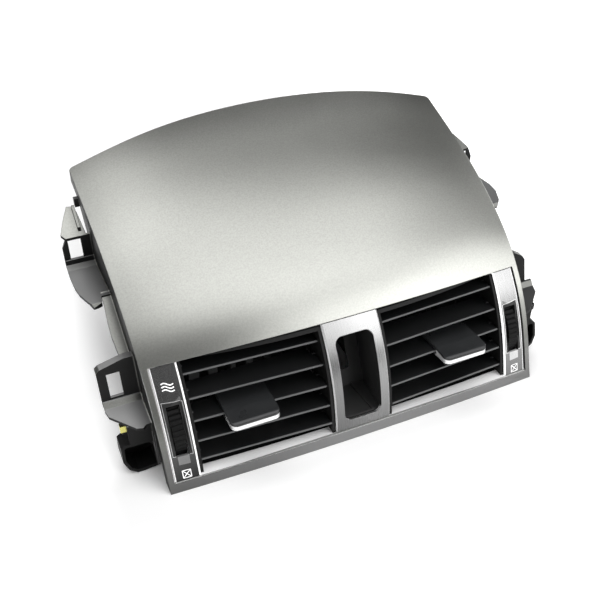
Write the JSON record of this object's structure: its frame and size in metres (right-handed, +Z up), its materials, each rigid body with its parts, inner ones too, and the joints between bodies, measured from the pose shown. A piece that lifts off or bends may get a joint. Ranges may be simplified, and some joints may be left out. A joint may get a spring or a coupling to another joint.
{
  "type": "car air vent",
  "caption": "Centre dash panel with two vent grilles, sliding knobs, thumbwheel shut-off flaps and an open switch slot between them.",
  "frame": {"origin": "centre of the bounding box's footprint, on the table plane", "axes": "+X across the car, +Y from the grilles towards the windscreen, +Z up off the table"},
  "size_m": [0.3308, 0.207, 0.1582],
  "materials": {
    "silver_paint": "metallic paint",
    "trim_paint": "metallic paint",
    "black_plastic": "moulded",
    "dark_plastic": "moulded",
    "bright_trim": "bright plated",
    "foam": "foam",
    "steel": "zinc plated",
    "clip_steel": "yellow passivated"
  },
  "bodies": {
    "panel_unit": {"centre_pocket": "black_plastic", "centre_trim_bar": "trim_paint", "housing_screws": "steel", "left_duct_housing": "black_plastic", "left_duct_seal": "foam", "left_trim_strip": "trim_paint", "right_duct_housing": "black_plastic", "right_duct_seal": "foam", "right_trim_strip": "trim_paint", "spring_clips": "clip_steel", "top_panel": "silver_paint"},
    "right_vane_1": {"right_vane_1": "black_plastic"},
    "right_vane_2": {"right_vane_2": "black_plastic"},
    "right_vane_3": {"right_vane_3": "black_plastic"},
    "right_vane_4": {"right_vane_4": "black_plastic"},
    "right_vane_5": {"right_vane_5": "black_plastic"},
    "right_vane_link": {"right_vane_link": "black_plastic"},
    "right_knob": {"right_knob": "dark_plastic", "right_knob_trim": "bright_trim"},
    "right_side_vane_1": {"right_side_vane_1": "black_plastic"},
    "right_side_vane_2": {"right_side_vane_2": "black_plastic"},
    "right_side_vane_3": {"right_side_vane_3": "black_plastic"},
    "right_side_vane_4": {"right_side_vane_4": "black_plastic"},
    "right_side_vane_5": {"right_side_vane_5": "black_plastic"},
    "right_side_vane_6": {"right_side_vane_6": "black_plastic"},
    "right_side_vane_link": {"right_side_vane_link": "black_plastic"},
    "right_thumbwheel": {"right_thumbwheel": "black_plastic"},
    "right_damper_flap": {"right_damper_flap": "black_plastic", "right_flap_lever": "black_plastic"},
    "right_damper_rod": {"right_damper_rod": "black_plastic"},
    "left_vane_1": {"left_vane_1": "black_plastic"},
    "left_vane_2": {"left_vane_2": "black_plastic"},
    "left_vane_3": {"left_vane_3": "black_plastic"},
    "left_vane_4": {"left_vane_4": "black_plastic"},
    "left_vane_5": {"left_vane_5": "black_plastic"},
    "left_vane_link": {"left_vane_link": "black_plastic"},
    "left_knob": {"left_knob": "dark_plastic", "left_knob_trim": "bright_trim"},
    "left_side_vane_1": {"left_side_vane_1": "black_plastic"},
    "left_side_vane_2": {"left_side_vane_2": "black_plastic"},
    "left_side_vane_3": {"left_side_vane_3": "black_plastic"},
    "left_side_vane_4": {"left_side_vane_4": "black_plastic"},
    "left_side_vane_5": {"left_side_vane_5": "black_plastic"},
    "left_side_vane_6": {"left_side_vane_6": "black_plastic"},
    "left_side_vane_link": {"left_side_vane_link": "black_plastic"},
    "left_thumbwheel": {"left_thumbwheel": "black_plastic"},
    "left_damper_flap": {"left_damper_flap": "black_plastic", "left_flap_lever": "black_plastic"},
    "left_damper_rod": {"left_damper_rod": "black_plastic"}
  },
  "joints": [
    {"name": "right_vane_1_tilt", "type": "hinge", "parent": "panel_unit", "child": "right_vane_1", "pos_m": [0.0685, -0.08383, 0.01413], "axis": [1, 0, 0], "range_deg": [-14, 36]},
    {"name": "right_vane_2_tilt", "type": "hinge", "parent": "panel_unit", "child": "right_vane_2", "pos_m": [0.0685, -0.07975, 0.02743], "axis": [1, 0, 0], "range_deg": [-14, 36]},
    {"name": "right_vane_3_tilt", "type": "hinge", "parent": "panel_unit", "child": "right_vane_3", "pos_m": [0.0685, -0.07442, 0.04073], "axis": [1, 0, 0], "range_deg": [-14, 36]},
    {"name": "right_vane_4_tilt", "type": "hinge", "parent": "panel_unit", "child": "right_vane_4", "pos_m": [0.0685, -0.06728, 0.05403], "axis": [1, 0, 0], "range_deg": [-14, 36]},
    {"name": "right_vane_5_tilt", "type": "hinge", "parent": "panel_unit", "child": "right_vane_5", "pos_m": [0.0685, -0.05766, 0.06733], "axis": [1, 0, 0], "range_deg": [-14, 36]},
    {"name": "right_vane_link_turn", "type": "hinge", "parent": "right_vane_3", "child": "right_vane_link", "pos_m": [0.0248, -0.06689, 0.03967], "axis": [1, 0, 0], "range_deg": [-36, 14]},
    {"name": "right_knob_slide", "type": "slide", "parent": "right_vane_3", "child": "right_knob", "axis": [1, 0, 0], "range_m": [-0.00825, 0.00825]},
    {"name": "right_side_vane_1_swing", "type": "hinge", "parent": "panel_unit", "child": "right_side_vane_1", "pos_m": [0.03637, -0.03067, 0.042], "axis": [0, 0, 1], "range_deg": [-30, 30]},
    {"name": "right_side_vane_2_swing", "type": "hinge", "parent": "panel_unit", "child": "right_side_vane_2", "pos_m": [0.05008, -0.03067, 0.042], "axis": [0, 0, 1], "range_deg": [-30, 30]},
    {"name": "right_side_vane_3_swing", "type": "hinge", "parent": "panel_unit", "child": "right_side_vane_3", "pos_m": [0.06379, -0.03067, 0.042], "axis": [0, 0, 1], "range_deg": [-30, 30]},
    {"name": "right_side_vane_4_swing", "type": "hinge", "parent": "panel_unit", "child": "right_side_vane_4", "pos_m": [0.0775, -0.03067, 0.042], "axis": [0, 0, 1], "range_deg": [-30, 30]},
    {"name": "right_side_vane_5_swing", "type": "hinge", "parent": "panel_unit", "child": "right_side_vane_5", "pos_m": [0.09121, -0.03067, 0.042], "axis": [0, 0, 1], "range_deg": [-30, 30]},
    {"name": "right_side_vane_6_swing", "type": "hinge", "parent": "panel_unit", "child": "right_side_vane_6", "pos_m": [0.10492, -0.03067, 0.042], "axis": [0, 0, 1], "range_deg": [-30, 30]},
    {"name": "right_side_vane_link_turn", "type": "hinge", "parent": "right_side_vane_4", "child": "right_side_vane_link", "pos_m": [0.0775, -0.02267, 0.009], "axis": [0, 0, 1], "range_deg": [-30, 30]},
    {"name": "right_thumbwheel_turn", "type": "hinge", "parent": "panel_unit", "child": "right_thumbwheel", "pos_m": [0.12545, -0.06346, 0.02954], "axis": [1, 0, 0], "range_deg": [0, 80]},
    {"name": "right_damper_flap_turn", "type": "hinge", "parent": "panel_unit", "child": "right_damper_flap", "pos_m": [0.0685, 0.00483, 0.029], "axis": [1, 0, 0], "range_deg": [0, 80]},
    {"name": "right_damper_rod_turn", "type": "hinge", "parent": "right_thumbwheel", "child": "right_damper_rod", "pos_m": [0.12005, -0.05446, 0.04027], "axis": [1, 0, 0], "range_deg": [-80, 0]},
    {"name": "left_vane_1_tilt", "type": "hinge", "parent": "panel_unit", "child": "left_vane_1", "pos_m": [-0.0685, -0.08383, 0.01413], "axis": [1, 0, 0], "range_deg": [-14, 36]},
    {"name": "left_vane_2_tilt", "type": "hinge", "parent": "panel_unit", "child": "left_vane_2", "pos_m": [-0.0685, -0.07975, 0.02743], "axis": [1, 0, 0], "range_deg": [-14, 36]},
    {"name": "left_vane_3_tilt", "type": "hinge", "parent": "panel_unit", "child": "left_vane_3", "pos_m": [-0.0685, -0.07442, 0.04073], "axis": [1, 0, 0], "range_deg": [-14, 36]},
    {"name": "left_vane_4_tilt", "type": "hinge", "parent": "panel_unit", "child": "left_vane_4", "pos_m": [-0.0685, -0.06728, 0.05403], "axis": [1, 0, 0], "range_deg": [-14, 36]},
    {"name": "left_vane_5_tilt", "type": "hinge", "parent": "panel_unit", "child": "left_vane_5", "pos_m": [-0.0685, -0.05766, 0.06733], "axis": [1, 0, 0], "range_deg": [-14, 36]},
    {"name": "left_vane_link_turn", "type": "hinge", "parent": "left_vane_3", "child": "left_vane_link", "pos_m": [-0.0248, -0.06689, 0.03967], "axis": [1, 0, 0], "range_deg": [-36, 14]},
    {"name": "left_knob_slide", "type": "slide", "parent": "left_vane_3", "child": "left_knob", "axis": [1, 0, 0], "range_m": [-0.00825, 0.00825]},
    {"name": "left_side_vane_1_swing", "type": "hinge", "parent": "panel_unit", "child": "left_side_vane_1", "pos_m": [-0.03637, -0.03067, 0.042], "axis": [0, 0, 1], "range_deg": [-30, 30]},
    {"name": "left_side_vane_2_swing", "type": "hinge", "parent": "panel_unit", "child": "left_side_vane_2", "pos_m": [-0.05008, -0.03067, 0.042], "axis": [0, 0, 1], "range_deg": [-30, 30]},
    {"name": "left_side_vane_3_swing", "type": "hinge", "parent": "panel_unit", "child": "left_side_vane_3", "pos_m": [-0.06379, -0.03067, 0.042], "axis": [0, 0, 1], "range_deg": [-30, 30]},
    {"name": "left_side_vane_4_swing", "type": "hinge", "parent": "panel_unit", "child": "left_side_vane_4", "pos_m": [-0.0775, -0.03067, 0.042], "axis": [0, 0, 1], "range_deg": [-30, 30]},
    {"name": "left_side_vane_5_swing", "type": "hinge", "parent": "panel_unit", "child": "left_side_vane_5", "pos_m": [-0.09121, -0.03067, 0.042], "axis": [0, 0, 1], "range_deg": [-30, 30]},
    {"name": "left_side_vane_6_swing", "type": "hinge", "parent": "panel_unit", "child": "left_side_vane_6", "pos_m": [-0.10492, -0.03067, 0.042], "axis": [0, 0, 1], "range_deg": [-30, 30]},
    {"name": "left_side_vane_link_turn", "type": "hinge", "parent": "left_side_vane_4", "child": "left_side_vane_link", "pos_m": [-0.0775, -0.02267, 0.009], "axis": [0, 0, 1], "range_deg": [-30, 30]},
    {"name": "left_thumbwheel_turn", "type": "hinge", "parent": "panel_unit", "child": "left_thumbwheel", "pos_m": [-0.12545, -0.06346, 0.02954], "axis": [1, 0, 0], "range_deg": [0, 80]},
    {"name": "left_damper_flap_turn", "type": "hinge", "parent": "panel_unit", "child": "left_damper_flap", "pos_m": [-0.0685, 0.00483, 0.029], "axis": [1, 0, 0], "range_deg": [0, 80]},
    {"name": "left_damper_rod_turn", "type": "hinge", "parent": "left_thumbwheel", "child": "left_damper_rod", "pos_m": [-0.12005, -0.05446, 0.04027], "axis": [1, 0, 0], "range_deg": [-80, 0]}
  ],
  "couplings": [
    {"joint": "right_vane_1_tilt", "follows": "right_vane_3_tilt", "ratio": 1},
    {"joint": "right_vane_2_tilt", "follows": "right_vane_3_tilt", "ratio": 1},
    {"joint": "right_vane_4_tilt", "follows": "right_vane_3_tilt", "ratio": 1},
    {"joint": "right_vane_5_tilt", "follows": "right_vane_3_tilt", "ratio": 1},
    {"joint": "right_vane_link_turn", "follows": "right_vane_3_tilt", "ratio": -1},
    {"joint": "right_side_vane_1_swing", "follows": "right_knob_slide", "rad_per_m": 63.4},
    {"joint": "right_side_vane_2_swing", "follows": "right_knob_slide", "rad_per_m": 63.4},
    {"joint": "right_side_vane_3_swing", "follows": "right_knob_slide", "rad_per_m": 63.4},
    {"joint": "right_side_vane_4_swing", "follows": "right_knob_slide", "rad_per_m": 63.4},
    {"joint": "right_side_vane_5_swing", "follows": "right_knob_slide", "rad_per_m": 63.4},
    {"joint": "right_side_vane_6_swing", "follows": "right_knob_slide", "rad_per_m": 63.4},
    {"joint": "right_side_vane_link_turn", "follows": "right_knob_slide", "rad_per_m": -63.4},
    {"joint": "right_damper_flap_turn", "follows": "right_thumbwheel_turn", "ratio": 1},
    {"joint": "right_damper_rod_turn", "follows": "right_thumbwheel_turn", "ratio": -1},
    {"joint": "left_vane_1_tilt", "follows": "left_vane_3_tilt", "ratio": 1},
    {"joint": "left_vane_2_tilt", "follows": "left_vane_3_tilt", "ratio": 1},
    {"joint": "left_vane_4_tilt", "follows": "left_vane_3_tilt", "ratio": 1},
    {"joint": "left_vane_5_tilt", "follows": "left_vane_3_tilt", "ratio": 1},
    {"joint": "left_vane_link_turn", "follows": "left_vane_3_tilt", "ratio": -1},
    {"joint": "left_side_vane_1_swing", "follows": "left_knob_slide", "rad_per_m": 63.4},
    {"joint": "left_side_vane_2_swing", "follows": "left_knob_slide", "rad_per_m": 63.4},
    {"joint": "left_side_vane_3_swing", "follows": "left_knob_slide", "rad_per_m": 63.4},
    {"joint": "left_side_vane_4_swing", "follows": "left_knob_slide", "rad_per_m": 63.4},
    {"joint": "left_side_vane_5_swing", "follows": "left_knob_slide", "rad_per_m": 63.4},
    {"joint": "left_side_vane_6_swing", "follows": "left_knob_slide", "rad_per_m": 63.4},
    {"joint": "left_side_vane_link_turn", "follows": "left_knob_slide", "rad_per_m": -63.4},
    {"joint": "left_damper_flap_turn", "follows": "left_thumbwheel_turn", "ratio": 1},
    {"joint": "left_damper_rod_turn", "follows": "left_thumbwheel_turn", "ratio": -1}
  ]
}
